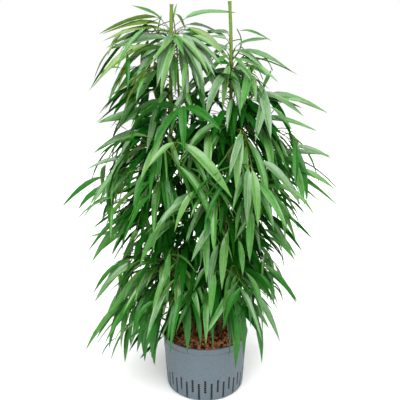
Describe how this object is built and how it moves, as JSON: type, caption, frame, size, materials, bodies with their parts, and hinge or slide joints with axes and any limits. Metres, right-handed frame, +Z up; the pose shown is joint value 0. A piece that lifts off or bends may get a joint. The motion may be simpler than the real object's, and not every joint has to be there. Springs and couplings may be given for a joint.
{
  "type": "potted alii ficus",
  "caption": "Indoor long-leaved fig on thin cane stems, with tiers of hanging lance-shaped leaves, in a round slotted plastic grow pot filled with clay granules.",
  "frame": {"origin": "middle of the pot's flat underside, on the ground plane", "axes": "+Z up along the pot; -Y is the front that the picture shows and +X is to its right"},
  "size_m": [0.8603, 0.7422, 1.208],
  "materials": {
    "pot_plastic": "moulded blue-grey polypropylene, fine matte grain",
    "fired_clay": "fired expanded clay granules, dry and matte",
    "cane": "thin green to brown bark on a living cane",
    "branch": "thin brown bark",
    "foliage": "waxy green leaves, satin above and matte below"
  },
  "bodies": {
    "root": {"pot": "pot_plastic", "clay_fill": "fired_clay", "stem_left": "cane", "stem_right": "cane", "stem_back": "cane", "bough_bottom_1": "branch", "bough_bottom_2": "branch", "bough_bottom_3": "branch", "bough_bottom_4": "branch", "bough_bottom_5": "branch", "bough_lower_1": "branch", "bough_lower_2": "branch", "bough_lower_3": "branch", "bough_lower_4": "branch", "bough_lower_5": "branch", "bough_lower_6": "branch", "bough_middle_1": "branch", "bough_middle_2": "branch", "bough_middle_3": "branch", "bough_middle_4": "branch", "bough_middle_5": "branch", "bough_upper_1": "branch", "bough_upper_2": "branch", "bough_upper_3": "branch", "bough_upper_4": "branch", "bough_upper_5": "branch", "bough_upper_6": "branch", "foliage_bottom_1": "foliage", "foliage_bottom_2": "foliage", "foliage_bottom_3": "foliage", "foliage_bottom_4": "foliage", "foliage_bottom_5": "foliage", "foliage_lower_1": "foliage", "foliage_lower_2": "foliage", "foliage_lower_3": "foliage", "foliage_lower_4": "foliage", "foliage_lower_5": "foliage", "foliage_lower_6": "foliage", "foliage_middle_1": "foliage", "foliage_middle_2": "foliage", "foliage_middle_3": "foliage", "foliage_middle_4": "foliage", "foliage_middle_5": "foliage", "foliage_upper_1": "foliage", "foliage_upper_2": "foliage", "foliage_upper_3": "foliage", "foliage_upper_4": "foliage", "foliage_upper_5": "foliage", "foliage_upper_6": "foliage", "foliage_top_left": "foliage", "foliage_top_left_rear": "foliage", "foliage_top_front": "foliage", "foliage_top_right": "foliage", "foliage_top_right_rear": "foliage", "foliage_top_rear": "foliage"}
  },
  "joints": []
}
